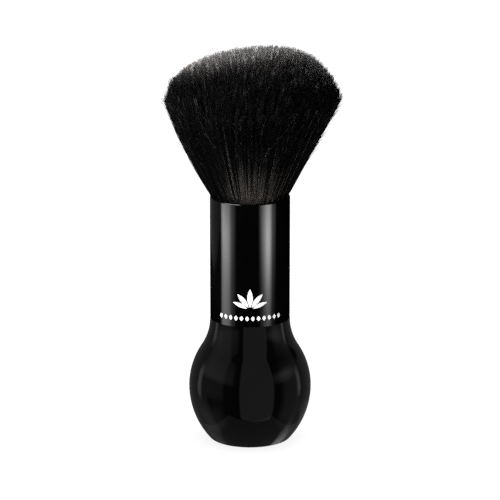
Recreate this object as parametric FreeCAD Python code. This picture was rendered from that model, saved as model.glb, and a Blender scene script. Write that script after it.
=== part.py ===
import FreeCAD, Part
import math
import os

# Neck duster brush that stands on its handle. Units are millimetres, +Z is up, the origin is the
# centre of the foot's standing face, and every piece is turned about the Z axis.
# Going up: rubber foot, bulb handle with a ballast slug inside, tube ferrule, flared head of hair.

# ---------------------------------------------------------------- driving dimensions
# head of hair
HEAD_TOP = 165.0            # crown of the hair above the standing face
HEAD_SHOULDER = 145.5       # height at which the side of the head turns into its dome
HEAD_RADIUS = 36.8          # widest radius of the head, at the shoulder
HEAD_SHOULDER_ROUND = 5.0   # rounding between the side and the dome
HEAD_MOUTH_RADIUS = 14.9    # radius of the hair in the ferrule's mouth
HEAD_SPREAD_RADIUS = 16.5   # radius of the hair where it has bulged over the ferrule's lip
HEAD_SPREAD_HEIGHT = 1.0    # height above the lip at which it has that radius
KNOT_RADIUS = 13.6          # radius of the packed hair inside the cup

# ferrule, the tube between handle and hair
FERRULE_RADIUS = 16.5
FERRULE_WALL = 0.8
FERRULE_BOTTOM = 52.3
FERRULE_TOP = 103.9
LIP_DEPTH = 0.6             # how far the rolled lip turns inwards from the bore
LIP_HEIGHT = 1.6
LIP_ROUND = 0.5

# bulb handle
BULB_RADIUS = 25.4
BULB_MIDDLE = 22.9          # height of the widest place
BULB_LOWER_ARC = 33.0       # arc radius of the side below the widest place
BULB_UPPER_ARC = 30.0       # arc radius of the side above it
BULB_BASE = 0.4             # height of the bulb's flat underside
BULB_EDGE_ROUND = 1.6       # rounding between the side and the underside
BULB_WALL = 2.4
NECK_RADIUS = 16.55         # bulb radius where it meets the ferrule

# spigot on the bulb that the ferrule is glued over
SPIGOT_GAP = 0.05           # glue gap between spigot and ferrule bore
SPIGOT_WALL = 2.2
SPIGOT_LENGTH = 14.0
GROOVE_DEPTH = 0.4
GROOVE_WIDTH = 1.6
GROOVE_HEIGHTS = (3.0, 8.0)     # above the ferrule's lower end

# plug that closes the spigot
PLUG_FLANGE = 1.6
PLUG_WEB = 2.4
PLUG_SKIRT_WALL = 1.8
PLUG_SKIRT_DEPTH = 9.0

# cup that holds the knot of hair
CUP_GAP = 0.05
CUP_WALL = 1.2
CUP_FLOOR = 3.0
CUP_FLOOR_BOTTOM = 79.4
CUP_TOP = 100.4
STEM_RADIUS = 5.5
STEM_HOLE_DEPTH = 10.0
RIB_COUNT = 4
RIB_THICKNESS = 1.6
RIB_REACH = 14.0
RIB_FOOT_GAP = 1.0
RESIN_DEPTH = 4.0

# thread whipping round the knot
THREAD_RADIUS = 0.3
THREAD_PITCH = 0.65
THREAD_TURNS = 5
THREAD_START = 1.0          # height of the first turn above the resin

# cap in the bulb's underside, ballast and foot
CAP_OPENING = 13.1          # radius of the opening in the underside
CAP_PLAY = 0.05
CAP_FLANGE_RADIUS = 14.2
CAP_FLANGE = 1.2
CAP_FLOOR = 3.2
CAP_HEIGHT = 8.0
CAP_SKIRT_WALL = 1.9
CAP_BEAD = 0.45             # snap bead that grips above the opening
FOOT_RADIUS = 12.0
FOOT_THICKNESS = 1.2
BALLAST_RADIUS = 10.8
BALLAST_HEIGHT = 18.0
BALLAST_CHAMFER = 0.8
BALLAST_HOLE_DEPTH = 9.0

# screws
SCREW_RADIUS = 2.0
SCREW_CLEARANCE = 2.3
SCREW_END_GAP = 1.0         # space left at the end of a blind hole
PAN_HEAD_RADIUS = 4.0
PAN_HEAD_HEIGHT = 2.6
PAN_HEAD_ROUND = 1.2
FLAT_HEAD_RADIUS = 3.7
WASHER_RADIUS = 5.5
WASHER_THICKNESS = 1.0
RECESS_LENGTH = 4.0         # cross recess in both screw heads
RECESS_WIDTH = 0.9
RECESS_DEPTH = 1.3

# ---------------------------------------------------------------- worked out from the above
FERRULE_BORE = FERRULE_RADIUS - FERRULE_WALL
SPIGOT_RADIUS = FERRULE_BORE - SPIGOT_GAP
SPIGOT_BORE = SPIGOT_RADIUS - SPIGOT_WALL
SPIGOT_TOP = FERRULE_BOTTOM + SPIGOT_LENGTH
PLUG_TOP = SPIGOT_TOP + PLUG_FLANGE
PLUG_WEB_BOTTOM = PLUG_TOP - PLUG_WEB
CUP_RADIUS = FERRULE_BORE - CUP_GAP
CUP_BORE = CUP_RADIUS - CUP_WALL
CUP_FLOOR_TOP = CUP_FLOOR_BOTTOM + CUP_FLOOR
RESIN_TOP = CUP_FLOOR_TOP + RESIN_DEPTH
BULB_FLOOR_TOP = BULB_BASE + BULB_WALL
CAP_FLOOR_TOP = FOOT_THICKNESS + CAP_FLOOR
BALLAST_TOP = CAP_FLOOR_TOP + BALLAST_HEIGHT


# ---------------------------------------------------------------- shape helpers
def point(r, z):
    return FreeCAD.Vector(r, 0, z)


def line(a, b):
    return Part.makeLine(point(*a), point(*b))


def lines(points):
    """Straight edges from each point to the next."""
    return [line(a, b) for a, b in zip(points, points[1:])]


def arc(a, centre, b):
    """Shorter arc from a to b about centre."""
    start = math.atan2(a[1] - centre[1], a[0] - centre[0])
    turn = math.atan2(b[1] - centre[1], b[0] - centre[0]) - start
    turn = (turn + math.pi) % (2 * math.pi) - math.pi
    radius = math.dist(a, centre)
    halfway = start + turn / 2
    middle = (centre[0] + radius * math.cos(halfway), centre[1] + radius * math.sin(halfway))
    return Part.Arc(point(*a), point(*middle), point(*b)).toShape()


def revolve(edges):
    """Solid of revolution about Z from the edges of one closed outline, in order."""
    face = Part.Face(Part.Wire(edges))
    solid = face.revolve(FreeCAD.Vector(0, 0, 0), FreeCAD.Vector(0, 0, 1), 360)
    return solid


def turned(points):
    """Solid of revolution from a closed outline of straight lines."""
    return revolve(lines(list(points) + [points[0]]))


def disc(radius, bottom, top):
    return Part.makeCylinder(radius, top - bottom, point(0, bottom))


def circles(solid, height, radius):
    """Circular edges of the solid at this height and of this radius."""
    found = []
    for edge in solid.Edges:
        box = edge.BoundBox
        level = abs(box.ZMin - height) < 1e-3 and abs(box.ZMax - height) < 1e-3
        if level and abs(box.XMax - radius) < 1e-3:
            found.append(edge)
    return found


def cross_recess(low):
    """Cross-shaped cutter for a screw head, from the height low upwards."""
    bars = []
    for length, width in ((RECESS_LENGTH, RECESS_WIDTH), (RECESS_WIDTH, RECESS_LENGTH)):
        corner = FreeCAD.Vector(-length / 2, -width / 2, low)
        bars.append(Part.makeBox(length, width, RECESS_DEPTH, corner))
    return bars[0].fuse(bars[1])


# ---------------------------------------------------------------- handle
def side_radius(centre, arc_radius, height):
    """Radius of the bulb at a height on one of its arcs."""
    return centre[0] + math.sqrt(arc_radius ** 2 - (height - centre[1]) ** 2)


def bulb_side(inset, low):
    """Edges of the bulb's side from the height low up to the neck, moved inwards by inset.

    The lower and upper arcs meet at the widest place. The neck arc leaves the ferrule
    vertically and is tangent to the upper arc.
    """
    lower = (BULB_RADIUS - BULB_LOWER_ARC, BULB_MIDDLE)
    upper = (BULB_RADIUS - BULB_UPPER_ARC, BULB_MIDDLE)
    reach = NECK_RADIUS - upper[0]
    rise = FERRULE_BOTTOM - BULB_MIDDLE
    neck_arc = (reach ** 2 + rise ** 2 - BULB_UPPER_ARC ** 2) / (2 * (BULB_UPPER_ARC - reach))
    neck = (NECK_RADIUS + neck_arc, FERRULE_BOTTOM)
    share = (BULB_UPPER_ARC - inset) / (BULB_UPPER_ARC + neck_arc)
    start = (side_radius(lower, BULB_LOWER_ARC - inset, low), low)
    widest = (BULB_RADIUS - inset, BULB_MIDDLE)
    join = (upper[0] + share * (neck[0] - upper[0]), upper[1] + share * (neck[1] - upper[1]))
    end = (NECK_RADIUS - inset, FERRULE_BOTTOM)
    return start, [arc(start, lower, widest), arc(widest, upper, join), arc(join, neck, end)], end


def spigot_side():
    """Points up the outside of the spigot, with its glue grooves."""
    points = [(SPIGOT_RADIUS, FERRULE_BOTTOM)]
    floor = SPIGOT_RADIUS - GROOVE_DEPTH
    for height in GROOVE_HEIGHTS:
        low = FERRULE_BOTTOM + height
        high = low + GROOVE_WIDTH
        points += [(SPIGOT_RADIUS, low), (floor, low), (floor, high), (SPIGOT_RADIUS, high)]
    points.append((SPIGOT_RADIUS, SPIGOT_TOP))
    return points


def make_handle_bulb():
    outer_start, outer_side, outer_end = bulb_side(0, BULB_BASE)
    inner_start, inner_side, inner_end = bulb_side(BULB_WALL, BULB_FLOOR_TOP)
    cone_top = (SPIGOT_BORE, FERRULE_BOTTOM + BULB_WALL)
    over_the_top = [outer_end] + spigot_side() + [(SPIGOT_BORE, SPIGOT_TOP), cone_top, inner_end]
    rebate_top = BULB_BASE + CAP_FLANGE
    across_the_base = [inner_start, (CAP_OPENING, BULB_FLOOR_TOP), (CAP_OPENING, rebate_top),
                       (CAP_FLANGE_RADIUS, rebate_top), (CAP_FLANGE_RADIUS, BULB_BASE), outer_start]
    edges = outer_side + lines(over_the_top) + inner_side[::-1] + lines(across_the_base)
    bulb = revolve(edges)
    return bulb.makeFillet(BULB_EDGE_ROUND, circles(bulb, BULB_BASE, outer_start[0]))


def make_glue_rings():
    """Set adhesive in the spigot's grooves, which holds the ferrule on."""
    rings = []
    for height in GROOVE_HEIGHTS:
        low = FERRULE_BOTTOM + height
        high = low + GROOVE_WIDTH
        rings.append(disc(FERRULE_BORE, low, high).cut(disc(SPIGOT_RADIUS - GROOVE_DEPTH, low, high)))
    return Part.makeCompound(rings)


def make_neck_plug():
    skirt_bottom = SPIGOT_TOP - PLUG_SKIRT_DEPTH
    inside = SPIGOT_BORE - PLUG_SKIRT_WALL
    return turned([(SCREW_CLEARANCE, PLUG_TOP), (SPIGOT_RADIUS, PLUG_TOP), (SPIGOT_RADIUS, SPIGOT_TOP),
                   (SPIGOT_BORE, SPIGOT_TOP), (SPIGOT_BORE, skirt_bottom), (inside, skirt_bottom),
                   (inside, PLUG_WEB_BOTTOM), (SCREW_CLEARANCE, PLUG_WEB_BOTTOM)])


# ---------------------------------------------------------------- base cap, ballast and foot
def make_foot_pad():
    return disc(FOOT_RADIUS, 0, FOOT_THICKNESS)


def make_base_cap():
    flange = CAP_FLANGE_RADIUS - CAP_PLAY
    flange_top = BULB_BASE + CAP_FLANGE
    body = CAP_OPENING - CAP_PLAY
    bead_low = BULB_FLOOR_TOP + CAP_PLAY
    inside = body - CAP_SKIRT_WALL
    countersink_top = FOOT_THICKNESS + FLAT_HEAD_RADIUS - SCREW_CLEARANCE
    return turned([(FLAT_HEAD_RADIUS, FOOT_THICKNESS), (FOOT_RADIUS, FOOT_THICKNESS),
                   (FOOT_RADIUS, BULB_BASE), (flange, BULB_BASE), (flange, flange_top),
                   (body, flange_top), (body, bead_low), (body + CAP_BEAD, bead_low + CAP_BEAD),
                   (body, bead_low + 3 * CAP_BEAD), (body, CAP_HEIGHT), (inside, CAP_HEIGHT),
                   (inside, CAP_FLOOR_TOP), (SCREW_CLEARANCE, CAP_FLOOR_TOP),
                   (SCREW_CLEARANCE, countersink_top)])


def make_ballast_weight():
    slug = disc(BALLAST_RADIUS, CAP_FLOOR_TOP, BALLAST_TOP)
    rims = circles(slug, CAP_FLOOR_TOP, BALLAST_RADIUS) + circles(slug, BALLAST_TOP, BALLAST_RADIUS)
    slug = slug.makeChamfer(BALLAST_CHAMFER, rims)
    return slug.cut(disc(SCREW_RADIUS, CAP_FLOOR_TOP, CAP_FLOOR_TOP + BALLAST_HOLE_DEPTH))


def make_ballast_screw():
    """Countersunk screw that holds the ballast, put in from under the foot pad."""
    neck = FOOT_THICKNESS + FLAT_HEAD_RADIUS - SCREW_RADIUS
    end = CAP_FLOOR_TOP + BALLAST_HOLE_DEPTH - SCREW_END_GAP
    screw = turned([(0, FOOT_THICKNESS), (FLAT_HEAD_RADIUS, FOOT_THICKNESS), (SCREW_RADIUS, neck),
                    (SCREW_RADIUS, end), (0, end)])
    return screw.cut(cross_recess(FOOT_THICKNESS))


# ---------------------------------------------------------------- ferrule and what it holds
def make_ferrule():
    lip = FERRULE_BORE - LIP_DEPTH
    low = FERRULE_TOP - LIP_HEIGHT
    tube = turned([(FERRULE_BORE, FERRULE_BOTTOM), (FERRULE_RADIUS, FERRULE_BOTTOM),
                   (FERRULE_RADIUS, FERRULE_TOP), (lip, FERRULE_TOP), (lip, low + LIP_DEPTH),
                   (FERRULE_BORE, low)])
    rims = circles(tube, FERRULE_TOP, FERRULE_RADIUS) + circles(tube, FERRULE_TOP, lip)
    return tube.makeFillet(LIP_ROUND, rims)


def make_knot_cup():
    """Cup with a ribbed stem below its floor, which stands on the neck plug."""
    cup = turned([(0, CUP_FLOOR_BOTTOM), (CUP_RADIUS, CUP_FLOOR_BOTTOM), (CUP_RADIUS, CUP_TOP),
                  (CUP_BORE, CUP_TOP), (CUP_BORE, CUP_FLOOR_TOP), (0, CUP_FLOOR_TOP)])
    cup = cup.fuse(disc(STEM_RADIUS, PLUG_TOP, CUP_FLOOR_BOTTOM))
    rib_foot = PLUG_TOP + RIB_FOOT_GAP
    for number in range(RIB_COUNT):
        corner = FreeCAD.Vector(0, -RIB_THICKNESS / 2, rib_foot)
        rib = Part.makeBox(RIB_REACH, RIB_THICKNESS, CUP_FLOOR_BOTTOM - rib_foot, corner)
        rib.rotate(FreeCAD.Vector(0, 0, 0), FreeCAD.Vector(0, 0, 1), 360 / RIB_COUNT * number)
        cup = cup.fuse(rib)
    cup = cup.cut(disc(SCREW_RADIUS, PLUG_TOP, PLUG_TOP + STEM_HOLE_DEPTH))
    return cup.removeSplitter()


def make_tie_washer():
    top = PLUG_WEB_BOTTOM
    return disc(WASHER_RADIUS, top - WASHER_THICKNESS, top).cut(
        disc(SCREW_CLEARANCE, top - WASHER_THICKNESS, top))


def make_tie_screw():
    """Pan-head screw from inside the bulb, through washer and plug, into the cup's stem."""
    seat = PLUG_WEB_BOTTOM - WASHER_THICKNESS
    face = seat - PAN_HEAD_HEIGHT
    end = PLUG_TOP + STEM_HOLE_DEPTH - SCREW_END_GAP
    head = disc(PAN_HEAD_RADIUS, face, seat)
    head = head.makeFillet(PAN_HEAD_ROUND, circles(head, face, PAN_HEAD_RADIUS))
    screw = head.fuse(disc(SCREW_RADIUS, seat, end))
    return screw.cut(cross_recess(face)).removeSplitter()


def make_root_resin():
    return disc(CUP_BORE, CUP_FLOOR_TOP, RESIN_TOP)


def make_knot_thread():
    """Turns of thread, each a closed ring, that bind the knot just above the resin."""
    rings = []
    for number in range(THREAD_TURNS):
        height = RESIN_TOP + THREAD_START + THREAD_PITCH * number
        rings.append(Part.makeTorus(KNOT_RADIUS + THREAD_RADIUS, THREAD_RADIUS, point(0, height)))
    return Part.makeCompound(rings)


def make_hair_head():
    """Outer shape of the hair: packed knot, flare from the ferrule's mouth, and domed top."""
    throat_top = FERRULE_TOP - LIP_HEIGHT
    dome_rise = HEAD_TOP - HEAD_SHOULDER
    dome_radius = (HEAD_RADIUS ** 2 + dome_rise ** 2) / (2 * dome_rise)
    outline = [(0, RESIN_TOP), (KNOT_RADIUS, RESIN_TOP), (KNOT_RADIUS, CUP_TOP),
               (HEAD_MOUTH_RADIUS, throat_top), (HEAD_MOUTH_RADIUS, FERRULE_TOP),
               (HEAD_SPREAD_RADIUS, FERRULE_TOP + HEAD_SPREAD_HEIGHT), (HEAD_RADIUS, HEAD_SHOULDER)]
    dome = arc((HEAD_RADIUS, HEAD_SHOULDER), (0, HEAD_TOP - dome_radius), (0, HEAD_TOP))
    head = revolve(lines(outline) + [dome, line((0, HEAD_TOP), (0, RESIN_TOP))])
    return head.makeFillet(HEAD_SHOULDER_ROUND, circles(head, HEAD_SHOULDER, HEAD_RADIUS))


# ---------------------------------------------------------------- export
PIECES = {
    "hair_head": make_hair_head,
    "knot_thread": make_knot_thread,
    "root_resin": make_root_resin,
    "knot_cup": make_knot_cup,
    "ferrule": make_ferrule,
    "glue_rings": make_glue_rings,
    "handle_bulb": make_handle_bulb,
    "neck_plug": make_neck_plug,
    "tie_screw": make_tie_screw,
    "tie_washer": make_tie_washer,
    "ballast_weight": make_ballast_weight,
    "ballast_screw": make_ballast_screw,
    "base_cap": make_base_cap,
    "foot_pad": make_foot_pad,
}

os.makedirs("parts", exist_ok=True)
for name, make in PIECES.items():
    shape = make()
    shape.exportStep("parts/" + name + ".step")
    print(name, "volume", round(shape.Volume, 1), "valid", shape.isValid(),
          "z", round(shape.BoundBox.ZMin, 2), "to", round(shape.BoundBox.ZMax, 2))
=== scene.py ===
import math

import bpy
import numpy as np
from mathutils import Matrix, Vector
from mathutils.kdtree import KDTree
from mathutils.noise import noise as value_noise


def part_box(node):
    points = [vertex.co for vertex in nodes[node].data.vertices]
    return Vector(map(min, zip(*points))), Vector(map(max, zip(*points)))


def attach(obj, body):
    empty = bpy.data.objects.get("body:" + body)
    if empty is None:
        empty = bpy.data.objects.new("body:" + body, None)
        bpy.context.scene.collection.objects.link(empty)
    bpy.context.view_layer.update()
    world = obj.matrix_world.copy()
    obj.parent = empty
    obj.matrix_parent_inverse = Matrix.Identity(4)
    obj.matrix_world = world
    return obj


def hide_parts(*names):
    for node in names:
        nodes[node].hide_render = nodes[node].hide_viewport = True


# Looks of a neck duster brush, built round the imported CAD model. Units are metres, +Z is up and
# the printed side of the ferrule faces -Y. Azimuths are degrees from -Y towards +X.

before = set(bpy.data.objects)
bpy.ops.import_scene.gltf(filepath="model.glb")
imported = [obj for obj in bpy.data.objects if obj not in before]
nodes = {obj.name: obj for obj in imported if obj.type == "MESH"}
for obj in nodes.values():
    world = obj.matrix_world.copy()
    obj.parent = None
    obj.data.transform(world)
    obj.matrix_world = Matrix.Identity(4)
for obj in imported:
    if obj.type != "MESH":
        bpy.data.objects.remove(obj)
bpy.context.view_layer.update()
MM = 0.001

FERRULE_LOW, FERRULE_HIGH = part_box("ferrule")
FERRULE_RADIUS = FERRULE_HIGH.x
MOUTH = FERRULE_HIGH.z                  # height of the ferrule's lip


def towards(azimuth, elevation):
    """Unit vector from the axis towards an azimuth and an elevation, in degrees."""
    turn, tilt = math.radians(azimuth), math.radians(elevation)
    return Vector((math.cos(tilt) * math.sin(turn), -math.cos(tilt) * math.cos(turn), math.sin(tilt)))


# ---------------------------------------------------------------- camera
CAMERA_DISTANCE = 1.1936
CAMERA_ELEVATION = 14.4                 # degrees
CAMERA_SENSOR = 36.0                    # millimetres, as is the lens
CAMERA_LENS = 208.1
LOOK_AT = Vector((0.0, 0.0, 0.0808))


def make_camera():
    data = bpy.data.cameras.new("camera")
    data.lens = CAMERA_LENS
    data.sensor_width = CAMERA_SENSOR
    data.clip_end = 50.0
    camera = bpy.data.objects.new("camera", data)
    away = towards(0.0, CAMERA_ELEVATION)
    camera.location = LOOK_AT + CAMERA_DISTANCE * away
    camera.rotation_euler = (-away).to_track_quat("-Z", "Y").to_euler()
    bpy.context.scene.collection.objects.link(camera)
    bpy.context.scene.camera = camera


make_camera()


# ---------------------------------------------------------------- material helpers
def new_material(name):
    """New material, with its node tree and its shader."""
    material = bpy.data.materials.new(name)
    material.use_nodes = True
    tree = material.node_tree
    shader = next(n for n in tree.nodes if n.type == "BSDF_PRINCIPLED")
    return material, tree, shader


def add_node(tree, kind, **inputs):
    node = tree.nodes.new(kind)
    for name, value in inputs.items():
        node.inputs[name.replace("_", " ")].default_value = value
    return node


def object_position(tree, stretch=(1.0, 1.0, 1.0)):
    """Position on the piece, in metres, scaled along each axis."""
    coordinates = tree.nodes.new("ShaderNodeTexCoord")
    mapping = tree.nodes.new("ShaderNodeMapping")
    mapping.inputs["Scale"].default_value = stretch
    tree.links.new(coordinates.outputs["Object"], mapping.inputs["Vector"])
    return mapping.outputs["Vector"]


def noise(tree, scale, detail=4.0, stretch=(1.0, 1.0, 1.0)):
    node = add_node(tree, "ShaderNodeTexNoise", Scale=scale, Detail=detail)
    tree.links.new(object_position(tree, stretch), node.inputs["Vector"])
    return node.outputs["Fac"]


def ramp(tree, factor, stops):
    """Colour ramp from (position, colour) stops."""
    node = tree.nodes.new("ShaderNodeValToRGB")
    elements = node.color_ramp.elements
    while len(elements) < len(stops):
        elements.new(0.5)
    for element, (position, colour) in zip(elements, stops):
        element.position = position
        element.color = (*colour, 1.0)
    tree.links.new(factor, node.inputs["Fac"])
    return node.outputs["Color"]


def spread(tree, factor, low, high):
    """Map a 0 to 1 factor to a range."""
    node = add_node(tree, "ShaderNodeMapRange", To_Min=low, To_Max=high)
    tree.links.new(factor, node.inputs["Value"])
    return node.outputs["Result"]


def bump(tree, shader, height, strength, distance):
    node = add_node(tree, "ShaderNodeBump", Strength=strength, Distance=distance)
    tree.links.new(height, node.inputs["Height"])
    tree.links.new(node.outputs["Normal"], shader.inputs["Normal"])


def grey(value):
    return (value, value, value)


# ---------------------------------------------------------------- materials
def lacquer():
    """Gloss black lacquer over the aluminium ferrule."""
    material, tree, shader = new_material("ferrule_lacquer")
    cloud = noise(tree, 90.0)
    tree.links.new(ramp(tree, cloud, [(0.3, grey(0.0010)), (0.7, grey(0.0022))]),
                   shader.inputs["Base Color"])
    tree.links.new(spread(tree, noise(tree, 400.0), 0.07, 0.11), shader.inputs["Roughness"])
    shader.inputs["Specular IOR Level"].default_value = 0.5
    bump(tree, shader, noise(tree, 700.0, 2.0), 0.02, 0.0001)
    return material


def bulb_plastic():
    """Smooth gloss black moulded plastic."""
    material, tree, shader = new_material("bulb_plastic")
    tree.links.new(ramp(tree, noise(tree, 60.0), [(0.3, grey(0.010)), (0.7, grey(0.014))]),
                   shader.inputs["Base Color"])
    tree.links.new(spread(tree, noise(tree, 300.0), 0.05, 0.09), shader.inputs["Roughness"])
    shader.inputs["Specular IOR Level"].default_value = 0.5
    bump(tree, shader, noise(tree, 900.0, 2.0), 0.02, 0.0001)
    return material


def hair_material():
    """Soft dark hair. The tone that each strand carries along its length picks the colour, and holds
    painted highlights on the crown's tips and on the roots.
    """
    material, tree, shader = new_material("hair")
    tone = tree.nodes.new("ShaderNodeAttribute")
    tone.attribute_name = "tone"
    colour = ramp(tree, tone.outputs["Fac"], [(0.0, (0.0022, 0.0020, 0.0024)),
                                              (0.3, (0.0050, 0.0043, 0.0050)),
                                              (0.6, (0.028, 0.025, 0.0245)),
                                              (1.0, (0.50, 0.455, 0.42))])
    tree.links.new(colour, shader.inputs["Base Color"])
    shader.inputs["Roughness"].default_value = 0.6
    shader.inputs["Specular IOR Level"].default_value = 0.4
    return material


def moulded(name, low, high, roughness):
    """Moulded plastic, rubber or resin with a fine grain."""
    material, tree, shader = new_material(name)
    grain = noise(tree, 500.0)
    tree.links.new(ramp(tree, grain, [(0.3, low), (0.7, high)]), shader.inputs["Base Color"])
    shader.inputs["Roughness"].default_value = roughness
    bump(tree, shader, noise(tree, 1500.0, 3.0), 0.15, 0.0001)
    return material


def metal(name, low, high, roughness):
    """Turned steel with fine marks round the axis."""
    material, tree, shader = new_material(name)
    marks = noise(tree, 300.0, 6.0, (0.2, 0.2, 12.0))
    tree.links.new(ramp(tree, marks, [(0.3, low), (0.7, high)]), shader.inputs["Base Color"])
    shader.inputs["Metallic"].default_value = 1.0
    shader.inputs["Roughness"].default_value = roughness
    bump(tree, shader, marks, 0.1, 0.0001)
    return material


cup_plastic = moulded("cup_plastic", grey(0.020), grey(0.030), 0.55)
screw_steel = metal("screw_steel", grey(0.52), grey(0.62), 0.25)
CAD_MATERIALS = {
    "ferrule": lacquer(),
    "handle_bulb": bulb_plastic(),
    "base_cap": cup_plastic,
    "neck_plug": cup_plastic,
    "knot_cup": cup_plastic,
    "foot_pad": moulded("foot_rubber", grey(0.012), grey(0.022), 0.8),
    "root_resin": moulded("root_resin", (0.20, 0.11, 0.03), (0.27, 0.16, 0.05), 0.2),
    "glue_rings": moulded("glue", (0.50, 0.44, 0.30), (0.58, 0.52, 0.38), 0.45),
    "knot_thread": moulded("knot_thread", (0.36, 0.33, 0.27), (0.50, 0.46, 0.38), 0.85),
    "ballast_weight": metal("ballast_steel", grey(0.32), grey(0.42), 0.4),
    "ballast_screw": screw_steel,
    "tie_screw": screw_steel,
    "tie_washer": screw_steel,
}
for name, material in CAD_MATERIALS.items():
    mesh = nodes[name].data
    mesh.materials.clear()
    mesh.materials.append(material)


# ---------------------------------------------------------------- hair
HAIR_SEED = 11
SIDE_STRANDS = 16000                    # strands that show along their length
CORE_STRANDS = 32000                    # strands behind them, which show only at their tips
STRAY_STRANDS = 1500                    # short hairs that stand out of the sides
SIDE_SHARE = 0.87                       # share of the head's radius where the side strands start
LONG_SHARE = 0.05                       # share of the strays that lie long across the sides
TUFTS = 3600                            # small clumps that the tips draw into
SIDE_SECTORS = 5                        # pieces that the side strands are cut into, round the axis
CORE_SECTORS = 6
STRAND_SIDES = 3
ASKEW = np.array([0.31, 0.95, 0.05])    # a direction that no strand runs along
SIDE_STEPS = np.array([0.0, 0.055, 0.085, 0.15, 0.30, 0.52, 0.76, 0.92, 1.0])
CORE_STEPS = np.array([0.0, 0.35, 0.70, 0.90, 1.0])
STRAY_STEPS = np.linspace(0.0, 1.0, 7)

ROOT_HEIGHT = MOUTH - 3.3 * MM          # where strands start, inside the ferrule
ROOT_RADIUS = 13.9 * MM
MOUTH_RADIUS = 14.7 * MM
SPREAD_HEIGHT = MOUTH + 1.3 * MM        # where the hair has bulged over the lip
SPREAD_RADIUS = 16.4 * MM
SHOULDER_HEIGHT = MOUTH + 42.0 * MM
SHOULDER_RADIUS = 36.5 * MM
SHOULDER_LEAN = 1.4 * MM                # how much wider the head is towards +X, and narrower towards -X
SIDE_CURVE = 0.11                       # how far the side bows out of a straight line
CURVE_LEAN = 0.15                       # how much more it bows towards -X, and less towards +X
CROWN_HEIGHT = MOUTH + 61.2 * MM

PATCH_SCALE = 9.0                       # uneven patches of tips, across the head's radius
PATCH_HEIGHT = 0.9 * MM                 # how far a patch stands out or sinks
TUFT_HEIGHT = 0.28 * MM                 # the same for each tuft in it
TUFT_LEAN = 0.30 * MM
TUFT_WAVE = 0.22 * MM
TUFT_PULL = 0.64                        # how far the tips move towards their tuft's centre
TIP_START = 0.7                         # share of a strand's length where its tip begins
TIP_SCATTER = 0.45 * MM                 # how unevenly single strands are cut
RAGGED_SHARE = 0.6                      # share of the strands near the shoulder that end lower still
RAGGED_DEPTH = 1.7 * MM
STRAND_LEAN = 0.25 * MM
STRAND_WAVE = 0.10 * MM
STRAND_PHASE = 0.7
WAVES = 9.0                             # phase that a strand's wave runs through, in radians

BASE_TONE = 0.20                        # tones are places on the hair's colour ramp
CROWN_HIGHLIGHT_TONE = 0.207                      # painted highlight, added at the tips of the crown
STRAND_TONE = 0.15                      # spread between strands, and below it between tufts and patches
TUFT_TONE = 0.13
PATCH_TONE = 0.20
PALE_SHARE = 0.03                       # share of single pale hairs
PALE_TONE = 0.45
ROOT_HIGHLIGHT_TONE = 0.85                        # painted highlight, added at the ferrule where a root highlight is strongest
ROOT_REACH = 0.53                       # share of the length over which that drops by one
ROOT_FLOOR = 0.1                        # lightening of the roots between the patches
ROOT_HIGHLIGHTS = ((6, 42, 1.0),           # azimuth, width and strength of the painted highlights on the roots
                (130, 26, 0.6),
                (228, 30, 0.7))
RIM_START = 0.72                        # share of the radius where the crown's painted highlight fades out
RIM_FADE = 0.8


def shoulder_radius(angle):
    return SHOULDER_RADIUS + SHOULDER_LEAN * np.cos(angle)


def side_radius(height, angle):
    """Radius of the outside of the head at a height, round the axis."""
    inside = np.interp(height, [ROOT_HEIGHT, MOUTH, SPREAD_HEIGHT],
                       [ROOT_RADIUS, MOUTH_RADIUS, SPREAD_RADIUS])
    up = (height - SPREAD_HEIGHT) / (SHOULDER_HEIGHT - SPREAD_HEIGHT)
    flare = up + (SIDE_CURVE - CURVE_LEAN * np.cos(angle)) * up * (1.0 - up)
    outside = SPREAD_RADIUS + (shoulder_radius(angle) - SPREAD_RADIUS) * flare
    return np.where(height < SPREAD_HEIGHT, inside, outside)


def dome_height(share, angle):
    """Height of the trimmed tips. share is 0 on the axis and 1 at the shoulder.

    Towards +X the dome stays full and turns down late. Towards -X it slopes off from the crown.
    The two drops below the crown are in millimetres.
    """
    towards_right = (1.0 + np.cos(angle)) / 2.0
    right = -1.2 * share + 20.3 * share ** 4.3
    left = 11.2 * share ** 1.6 + 6.5 * share ** 8 + 3.5 * share ** 30
    return CROWN_HEIGHT - MM * (towards_right * right + (1.0 - towards_right) * left)


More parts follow.
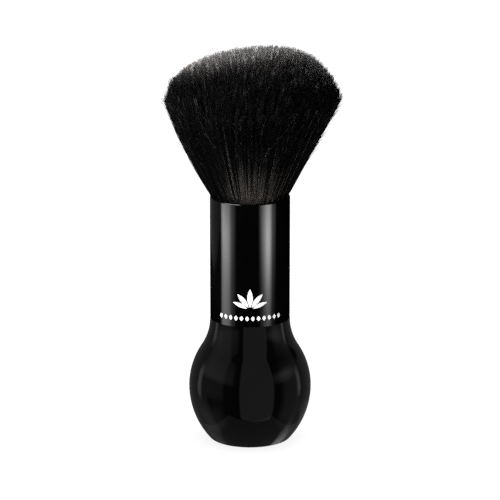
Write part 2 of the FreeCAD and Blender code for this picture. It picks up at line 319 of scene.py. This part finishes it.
def tube_mesh(name, paths, radii, tone):
    """Closed three-sided tubes along paths (strand, point, xyz), with a tone for each point."""
    count, steps, _ = paths.shape
    along = np.gradient(paths, axis=1)
    along /= np.linalg.norm(along, axis=2, keepdims=True)
    side = np.cross(along, ASKEW)
    side /= np.linalg.norm(side, axis=2, keepdims=True)
    other = np.cross(along, side)
    turn = np.arange(STRAND_SIDES) * 2 * math.pi / STRAND_SIDES
    ring = np.cos(turn)[:, None] * side[:, :, None, :] + np.sin(turn)[:, None] * other[:, :, None, :]
    vertices = paths[:, :, None, :] + radii[:, :, None, None] * ring

    corners = np.arange(STRAND_SIDES)
    after = (corners + 1) % STRAND_SIDES
    rows = np.arange(steps - 1)[:, None] * STRAND_SIDES
    quads = np.stack([rows + corners, rows + after, rows + after + STRAND_SIDES,
                      rows + corners + STRAND_SIDES], axis=-1).reshape(-1)
    caps = np.concatenate([corners[::-1], (steps - 1) * STRAND_SIDES + corners])
    start = (np.arange(count) * steps * STRAND_SIDES)[:, None]
    loops = np.concatenate([(quads[None, :] + start).ravel(), (caps[None, :] + start).ravel()])
    quad_count = count * (steps - 1) * STRAND_SIDES
    sizes = np.concatenate([np.full(quad_count, 4), np.full(count * 2, STRAND_SIDES)])

    mesh = bpy.data.meshes.new(name)
    mesh.vertices.add(vertices.size // 3)
    mesh.vertices.foreach_set("co", vertices.reshape(-1).astype(np.float32))
    mesh.loops.add(len(loops))
    mesh.loops.foreach_set("vertex_index", loops.astype(np.int32))
    mesh.polygons.add(len(sizes))
    starts = np.concatenate([[0], np.cumsum(sizes)[:-1]])
    mesh.polygons.foreach_set("loop_start", starts.astype(np.int32))
    mesh.polygons.foreach_set("use_smooth", np.ones(len(sizes), bool))
    mesh.update(calc_edges=True)
    attribute = mesh.attributes.new("tone", "FLOAT", "POINT")
    point_tones = np.repeat(tone.reshape(-1), STRAND_SIDES)
    attribute.data.foreach_set("value", point_tones.astype(np.float32))
    piece = bpy.data.objects.new(name, mesh)
    bpy.context.scene.collection.objects.link(piece)
    return piece


def on_disc(share, angle):
    return np.stack([share * np.cos(angle), share * np.sin(angle)], axis=1)


def make_tufts(rng):
    """Centres of the tip clumps over the unit disc, with a lean, wave, height and tone for each."""
    centres = on_disc(np.sqrt(rng.uniform(0, 1, TUFTS)), rng.uniform(-math.pi, math.pi, TUFTS))
    tree = KDTree(TUFTS)
    for number, (x, y) in enumerate(centres):
        tree.insert((x, y, 0.0), number)
    tree.balance()
    patch = np.array([value_noise(PATCH_SCALE * Vector((x, y, 0.0))) for x, y in centres])
    return {"tree": tree,
            "centres": centres,
            "lean": rng.normal(0, TUFT_LEAN, (TUFTS, 2)),
            "wave": rng.normal(0, TUFT_WAVE, (TUFTS, 2)),
            "phase": rng.uniform(0, 2 * math.pi, TUFTS),
            "height": rng.normal(0, TUFT_HEIGHT, TUFTS) + PATCH_HEIGHT * patch,
            "tone": rng.normal(0, TUFT_TONE, TUFTS) + PATCH_TONE * patch}


def root_highlight(angle):
    """How much painted highlight the hair gets towards the ferrule, from 0 to 1, round the axis."""
    azimuth = np.degrees(angle) + 90.0
    light = np.full(len(angle), ROOT_FLOOR)
    for centre, width, strength in ROOT_HIGHLIGHTS:
        away = (azimuth - centre + 180.0) % 360.0 - 180.0
        light = np.maximum(light, strength * np.exp(-(away / width) ** 2))
    return light


def grow(rng, count, inner_share, steps, tufts):
    """Paths, radii, tones and angles of strands that end between inner_share and the shoulder."""
    share = np.sqrt(rng.uniform(inner_share ** 2, 1, count))
    angle = rng.uniform(-math.pi, math.pi, count)
    plan = on_disc(share, angle)
    tuft = np.array([tufts["tree"].find((x, y, 0.0))[1] for x, y in plan])

    top = dome_height(share, angle)
    inside = share * shoulder_radius(angle) / side_radius(top, angle)
    outer = np.clip((share - SIDE_SHARE) / (1 - SIDE_SHARE), 0, 1)
    ragged = rng.exponential(RAGGED_DEPTH, count) * outer * (rng.uniform(0, 1, count) < RAGGED_SHARE)
    shift = (tufts["centres"][tuft] - plan) * shoulder_radius(angle)[:, None]
    top = top + tufts["height"][tuft] - np.linalg.norm(shift, axis=1)
    top = top - rng.exponential(TIP_SCATTER, count)
    top = top - ragged
    height = ROOT_HEIGHT + (top - ROOT_HEIGHT)[:, None] * steps
    radius = inside[:, None] * side_radius(height, angle[:, None])

    tip = np.clip((steps - TIP_START) / (1 - TIP_START), 0, 1)
    pull = TUFT_PULL * tip ** 1.5
    lean = rng.normal(0, STRAND_LEAN, (count, 2))
    wave = tufts["wave"][tuft] + rng.normal(0, STRAND_WAVE, (count, 2))
    phase = tufts["phase"][tuft] + rng.normal(0, STRAND_PHASE, count)
    wobble = np.sin(phase[:, None] + WAVES * steps) * steps
    paths = np.stack([radius * np.cos(angle)[:, None], radius * np.sin(angle)[:, None], height], axis=2)
    for axis in range(2):
        paths[:, :, axis] += shift[:, axis, None] * pull
        paths[:, :, axis] += tufts["lean"][tuft, axis, None] * steps
        paths[:, :, axis] += lean[:, axis, None] * steps
        paths[:, :, axis] += wave[:, axis, None] * wobble

    thickness = np.interp(steps, [0, 0.3, 0.85, 1], [0.055, 0.095, 0.095, 0.025]) * MM
    radii = rng.uniform(0.75, 1.25, count)[:, None] * thickness
    own_tone = rng.normal(0, STRAND_TONE, count) + PALE_TONE * (rng.uniform(0, 1, count) < PALE_SHARE)
    # Painted highlight: the crown's tips are made lighter, fading out towards the shoulder, and the
    # tufts there differ more in tone.
    rim = np.clip((share - RIM_START) / (1 - RIM_START), 0, 1)
    crown_highlight = tip * (1 - RIM_FADE * rim[:, None])
    near_root = np.clip(1.3 - steps / ROOT_REACH, 0, 1)
    tone = BASE_TONE + own_tone[:, None] * (1 - 0.3 * tip) + CROWN_HIGHLIGHT_TONE * crown_highlight
    tone = tone + tufts["tone"][tuft, None] * (0.7 + 0.55 * crown_highlight)
    # Painted highlight: the roots lighten towards the ferrule, in patches round the axis.
    tone = tone + ROOT_HIGHLIGHT_TONE * root_highlight(angle)[:, None] * near_root
    return paths, radii, np.clip(tone, 0, 1), angle


def grow_strays(rng):
    """Loose hairs: short light ends that stand out of the sides, and long light ones across them."""
    long = rng.uniform(0, 1, STRAY_STRANDS) < LONG_SHARE
    steps = STRAY_STEPS
    angle = rng.uniform(-math.pi, math.pi, STRAY_STRANDS)
    low = MOUTH + rng.uniform(8, 32, STRAY_STRANDS) * MM
    length = rng.uniform(6, 20, STRAY_STRANDS) * MM
    height = np.minimum(low[:, None] + length[:, None] * steps, SHOULDER_HEIGHT - 1.0 * MM)
    out = np.where(long, 0.2 * MM, rng.exponential(0.8 * MM, STRAY_STRANDS))
    sunk = np.where(long, 0.3 * MM, 0.8 * MM)
    radius = side_radius(height, angle[:, None]) + out[:, None] * steps ** 2.5
    radius = radius - sunk[:, None] * (1 - steps) ** 2
    drift = rng.normal(0, 1, STRAY_STRANDS) * np.where(long, 0.22, 0.05)
    curl = rng.uniform(0, 2 * math.pi, STRAY_STRANDS)
    turn = angle[:, None] + drift[:, None] * steps + 0.018 * np.sin(curl[:, None] + 6.0 * steps)
    paths = np.stack([radius * np.cos(turn), radius * np.sin(turn), height], axis=2)
    thickness = np.interp(steps, [0, 0.7, 1], [0.05, 0.05, 0.02]) * MM
    radii = rng.uniform(0.8, 1.3, STRAY_STRANDS)[:, None] * thickness
    tone = np.where(long, rng.uniform(0.75, 0.9, STRAY_STRANDS), rng.uniform(0.3, 0.8, STRAY_STRANDS))
    return paths, radii, np.repeat(tone[:, None], len(steps), axis=1)


def hair_piece(name, material, paths, radii, tone):
    piece = tube_mesh(name, paths, radii, tone)
    piece.data.materials.append(material)
    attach(piece, "root")
    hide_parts("hair_head")
    return piece


def make_head():
    rng = np.random.default_rng(HAIR_SEED)
    material = hair_material()
    tufts = make_tufts(rng)
    pieces = []
    layers = (("side", SIDE_STRANDS, SIDE_SHARE, SIDE_STEPS, SIDE_SECTORS),
              ("core", CORE_STRANDS, 0.0, CORE_STEPS, CORE_SECTORS))
    for kind, count, inner_share, steps, sectors in layers:
        paths, radii, tone, angle = grow(rng, count, inner_share, steps, tufts)
        sector = ((angle + math.pi) / (2 * math.pi) * sectors).astype(int) % sectors
        for number in range(sectors):
            chosen = sector == number
            name = f"hair_{kind}_{number + 1}"
            pieces.append(hair_piece(name, material, paths[chosen], radii[chosen], tone[chosen]))
    pieces.append(hair_piece("hair_strays", material, *grow_strays(rng)))
    return pieces


hair_pieces = make_head()


# ---------------------------------------------------------------- printed motif on the ferrule
PRINT_TOP = FERRULE_RADIUS + 0.045 * MM
PRINT_BACK = FERRULE_RADIUS - 0.10 * MM
LEAF_POINTS = 14
SPRIG_HEIGHT = 8.4                      # millimetres above the ferrule's lower edge
GRAINS = 12
GRAIN_PITCH = 2.36                      # millimetres round the ferrule


def ink():
    """Slightly worn white print."""
    material, tree, shader = new_material("print_ink")
    tree.links.new(ramp(tree, noise(tree, 1500.0), [(0.30, grey(0.62)), (0.50, grey(0.84))]),
                   shader.inputs["Base Color"])
    shader.inputs["Roughness"].default_value = 0.5
    bump(tree, shader, noise(tree, 4000.0), 0.1, 0.00005)
    return material


def leaf(base, direction, length, width, bend):
    """Outline of a leaf on the unrolled ferrule, in millimetres and degrees."""
    t = np.linspace(0, 1, LEAF_POINTS)
    heading = np.radians(direction + bend * t)
    step = length / (LEAF_POINTS - 1)
    spine = np.array(base) + np.concatenate([[[0, 0]], np.cumsum(
        step * np.stack([np.sin(heading[:-1]), np.cos(heading[:-1])], axis=1), axis=0)])
    half = width / 2 * np.sin(math.pi * np.clip(t, 0.02, 0.98)) ** 0.75
    across = np.stack([np.cos(heading), -np.sin(heading)], axis=1)
    return np.concatenate([spine + across * half[:, None], (spine - across * half[:, None])[::-1]])


def wrapped(outlines, name):
    """Thin closed pieces of print, wrapped round the front of the ferrule."""
    vertices = []
    faces = []
    for outline in outlines:
        first = len(vertices)
        count = len(outline)
        for radius in (PRINT_TOP, PRINT_BACK):
            for along, up in outline:
                turn = along * MM / FERRULE_RADIUS
                height = FERRULE_LOW.z + up * MM
                vertices.append((radius * math.sin(turn), -radius * math.cos(turn), height))
        half = count // 2
        for row in range(half - 1):
            right, left = row, count - 1 - row
            faces.append([first + right, first + right + 1, first + left - 1, first + left])
            faces.append([first + count + i for i in (left, left - 1, right + 1, right)])
        for corner in range(count):
            after = (corner + 1) % count
            faces.append([first + after, first + corner, first + count + corner, first + count + after])
    mesh = bpy.data.meshes.new(name)
    mesh.from_pydata(vertices, [], faces)
    mesh.update()
    piece = bpy.data.objects.new(name, mesh)
    bpy.context.scene.collection.objects.link(piece)
    return piece


def make_print():
    """Sprig of five leaves over a shallow arc of small grains."""
    sprig = [leaf((0.0, SPRIG_HEIGHT), 0, 7.6, 2.3, 0)]
    for side in (-1, 1):
        sprig.append(leaf((side * 0.7, SPRIG_HEIGHT), side * 34, 7.0, 2.0, side * 12))
        sprig.append(leaf((side * 1.3, 8.0), side * 62, 6.2, 1.7, side * 14))
    row = []
    for number in range(GRAINS):
        place = number - (GRAINS - 1) / 2
        row.append(leaf((GRAIN_PITCH * place, 3.6 - math.cos(0.13 * place)), 0, 2.0, 1.5, 0))
    piece = wrapped(sprig + row, "ferrule_print")
    piece.data.materials.append(ink())
    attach(piece, "root")
    return piece


ferrule_print = make_print()


# ---------------------------------------------------------------- floor and light
FLOOR_SIZE = 6.0                        # half its side
FLOOR_GREY = 0.92
BOX_DISTANCE = 0.6                      # of a soft box from the axis
NEAR_DISTANCE = 0.08                    # of the two that stand close to the neck
FILL_DISTANCE = 0.8
FILL_SIZE = 0.35
BULB_CENTRE = 0.023                     # height of the bulb's widest place
HAIR_MIDDLE = MOUTH + 0.05
KEY_DISTANCE = 0.8
KEY_RADIUS = 0.032                      # of the beam, where it meets the crown
KEY_SOURCE = 0.010                      # radius of the spot itself
KEY_AIM = Vector((-0.0055, 0.017, CROWN_HEIGHT - 0.003))


def make_floor():
    """White floor that reflections don't show, and that bounces no light and throws no shadow."""
    mesh = bpy.data.meshes.new("floor")
    corners = [(x * FLOOR_SIZE, y * FLOOR_SIZE, 0) for x, y in ((-1, -1), (1, -1), (1, 1), (-1, 1))]
    mesh.from_pydata(corners, [], [(0, 1, 2, 3)])
    floor = bpy.data.objects.new("floor", mesh)
    bpy.context.scene.collection.objects.link(floor)
    material, tree, shader = new_material("floor")
    shader.inputs["Base Color"].default_value = (*grey(FLOOR_GREY), 1.0)
    shader.inputs["Roughness"].default_value = 0.9
    shader.inputs["Specular IOR Level"].default_value = 0.0
    mesh.materials.append(material)
    floor.visible_glossy = False
    floor.visible_diffuse = False
    floor.visible_shadow = False
    return floor


def make_world():
    """White background that the camera alone sees."""
    world = bpy.data.worlds.new("studio")
    world.use_nodes = True
    background = next(n for n in world.node_tree.nodes if n.type == "BACKGROUND")
    background.inputs["Color"].default_value = (1.0, 1.0, 1.0, 1.0)
    world.cycles_visibility.diffuse = False
    world.cycles_visibility.glossy = False
    bpy.context.scene.world = world


def group(name, pieces):
    collection = bpy.data.collections.new(name)
    for piece in pieces:
        collection.objects.link(piece)
    return collection


def floor_sun(name, radiance, spread_angle, blockers=None):
    """Light straight down on the floor alone. Only the blockers throw its shadow, if they are given."""
    data = bpy.data.lights.new(name, "SUN")
    data.energy = radiance * math.pi / FLOOR_GREY
    data.angle = math.radians(spread_angle)
    light = bpy.data.objects.new(name, data)
    light.light_linking.receiver_collection = floor_group
    if blockers:
        light.light_linking.blocker_collection = blockers
    bpy.context.scene.collection.objects.link(light)


def profile(tree, coordinate, stops):
    """Brightness across a soft box, from (position, brightness) stops."""
    return ramp(tree, coordinate, [(position, grey(value)) for position, value in stops])


def place_light(name, data, location, rotation, receivers):
    """Put a light into the scene that lights the receivers alone and isn't seen itself."""
    light = bpy.data.objects.new(name, data)
    light.location = location
    light.rotation_euler = rotation
    light.visible_camera = False
    light.light_linking.receiver_collection = receivers
    bpy.context.scene.collection.objects.link(light)


def shade_box(data, across, up):
    """Give an area light a brightness profile across it and another up it."""
    data.use_nodes = True
    tree = data.node_tree
    emission = next(n for n in tree.nodes if n.type == "EMISSION")
    place = tree.nodes.new("ShaderNodeNewGeometry")
    split = tree.nodes.new("ShaderNodeSeparateXYZ")
    tree.links.new(place.outputs["Parametric"], split.inputs["Vector"])
    product = tree.nodes.new("ShaderNodeMath")
    product.operation = "MULTIPLY"
    for number, (axis, stops) in enumerate((("X", across), ("Y", up))):
        tree.links.new(profile(tree, split.outputs[axis], stops), product.inputs[number])
    tree.links.new(product.outputs["Value"], emission.inputs["Strength"])


def soft_box(name, azimuths, elevations, radiance, receivers, centre, distance=BOX_DISTANCE,
             across=None, up=None):
    """Soft box that fills a range of azimuth and elevation seen from the axis at the height centre.

    across and up are brightness profiles over it, from low azimuth to high and from bottom to top.
    A box has both or neither.
    """
    middle = math.radians(sum(azimuths) / 2)
    width = 2 * distance * math.tan(math.radians(azimuths[1] - azimuths[0]) / 2)
    low, high = (distance * math.tan(math.radians(e)) for e in elevations)
    data = bpy.data.lights.new(name, "AREA")
    data.shape = "RECTANGLE"
    data.size = width
    data.size_y = high - low
    data.energy = radiance * math.pi * width * (high - low)
    if across:
        shade_box(data, across, up)
    height = centre + (low + high) / 2
    location = (distance * math.sin(middle), -distance * math.cos(middle), height)
    place_light(name, data, location, (math.pi / 2, 0.0, middle), receivers)


def aimed_box(name, azimuth, elevation, distance, size, radiance, receivers, aim):
    """Square soft box aimed at a height on the axis."""
    data = bpy.data.lights.new(name, "AREA")
    data.size = size
    data.energy = radiance * math.pi * size * size
    away = towards(azimuth, elevation)
    location = Vector((0.0, 0.0, aim)) + distance * away
    place_light(name, data, location, away.to_track_quat("Z", "Y").to_euler(), receivers)


def key_spot(name, azimuth, elevation, energy, receivers):
    """Gridded spot whose beam covers the crown and ends above the shoulder."""
    data = bpy.data.lights.new(name, "SPOT")
    data.energy = energy
    data.shadow_soft_size = KEY_SOURCE
    data.spot_size = 2 * math.atan(KEY_RADIUS / KEY_DISTANCE)
    data.spot_blend = 0.6
    away = towards(azimuth, elevation)
    location = KEY_AIM + KEY_DISTANCE * away
    place_light(name, data, location, away.to_track_quat("Z", "Y").to_euler(), receivers)


floor = make_floor()
make_world()
floor_group = group("floor_only", [floor])
hair_group = group("hair_only", hair_pieces)
ferrule_group = group("ferrule_only", [nodes["ferrule"], ferrule_print])
print_group = group("print_only", [ferrule_print])
bulb_group = group("bulb_only", [nodes["handle_bulb"], nodes["base_cap"], nodes["foot_pad"]])

floor_sun("floor_even", 0.90, 1.0, floor_group)
floor_sun("floor_soft", 0.22, 60.0)

soft_box("strip_left", (-92, -40), (-46, 27), 7.0, ferrule_group, 0.0,
         across=[(0.0, 0.0), (0.10, 0.6), (0.22, 1.0), (0.52, 0.9), (0.72, 0.2), (1.0, 0.0)],
         up=[(0.0, 0.35), (0.55, 0.38), (0.568, 0.45), (0.58, 0.55), (0.592, 0.75), (0.606, 1.0),
             (0.614, 0.95), (0.626, 0.5)])
soft_box("strip_left_dim", (-168, -88), (-7.6, 27), 0.12, ferrule_group, 0.0)
soft_box("strip_right", (24, 80), (-46, 27), 10.5, ferrule_group, 0.0,
         across=[(0.0, 0.0), (0.12, 0.1), (0.30, 0.45), (0.48, 1.0), (0.58, 0.9), (0.74, 0.14),
                 (1.0, 0.01)],
         up=[(0.0, 0.08), (0.55, 0.10), (0.568, 0.30), (0.58, 0.48), (0.592, 0.75), (0.606, 1.0),
             (0.614, 0.95), (0.626, 0.6)])
soft_box("lip_light", (-88, -36), (34, 60), 14.0, ferrule_group, MOUTH)

for name, azimuths, elevations, radiance, soft in (
        ("card_front", (-20, 46), (-48, 60), 0.185, 0.02),
        ("card_left", (-92, -48), (-24, 54), 0.10, 0.15),
        ("card_left_low", (-128, -50), (-56, -20), 0.10, 0.3),
        ("card_right", (58, 120), (-54, 40), 0.11, 0.25),
        ("streak_right", (97, 110), (-20, 15), 0.42, 0.3),
        ("streak_left", (-116, -101), (-22, 15), 0.40, 0.3),
        ("card_far_left", (-166, -86), (-60, 50), 0.085, 0.1),
        ("card_far_right", (114, 170), (-34, 16), 0.09, 0.1)):
    edge = [(0.0, 0.0), (soft, 1.0), (1.0 - soft, 1.0), (1.0, 0.0)]
    soft_box(name, azimuths, elevations, radiance, bulb_group, BULB_CENTRE, across=edge, up=edge)
soft_box("rim_right", (100, 180), (-62, -22), 0.75, bulb_group, BULB_CENTRE,
         across=[(0.0, 0.0), (0.5, 1.0), (0.8, 1.0), (1.0, 0.3)],
         up=[(0.05, 0.0), (0.2, 1.0), (0.48, 1.0), (0.64, 0.18), (1.0, 0.04)])
# these two stand close, so that the neck shows them and the widest part of the bulb doesn't
soft_box("neck_left", (-104, -26), (9, 45), 0.20, bulb_group, BULB_CENTRE, NEAR_DISTANCE,
         across=[(0.0, 0.0), (0.3, 1.0), (0.7, 0.9), (0.9, 0.7), (1.0, 0.0)],
         up=[(0.0, 0.2), (0.12, 0.9), (0.3, 0.8), (0.9, 0.45), (1.0, 0.0)])
soft_box("neck_right", (36, 92), (9, 26), 0.27, bulb_group, BULB_CENTRE, NEAR_DISTANCE,
         across=[(0.0, 0.0), (0.4, 1.0), (0.6, 1.0), (1.0, 0.0)],
         up=[(0.0, 0.2), (0.45, 1.0), (0.6, 1.0), (1.0, 0.0)])
aimed_box("card_low", 0, -90, BOX_DISTANCE, 1.15, 0.085, bulb_group, BULB_CENTRE)
aimed_box("card_lowest", 0, -90, BOX_DISTANCE, 0.62, 0.14, bulb_group, BULB_CENTRE)

key_spot("key_left", -80, 60, 86.0, hair_group)
key_spot("key_back", -130, 50, 47.0, hair_group)
aimed_box("fill_back", 170, 4, 0.9, 0.5, 2.2, hair_group, MOUTH + 0.03)
for name, azimuth, elevation, radiance in (
        ("fill_high", -60, 30, 3.5),
        ("fill_left", -52, 5, 3.3),
        ("fill_front", 6, -16, 1.7),
        ("fill_right", 118, 6, 2.4)):
    aimed_box(name, azimuth, elevation, FILL_DISTANCE, FILL_SIZE, radiance, hair_group, HAIR_MIDDLE)
aimed_box("print_fill", -5, 25, 0.9, 0.4, 12.0, print_group, MOUTH - 0.04)

bpy.context.scene.view_settings.view_transform = "Standard"
bpy.context.scene.cycles.use_denoising = False      # a denoiser smears hair finer than a pixel
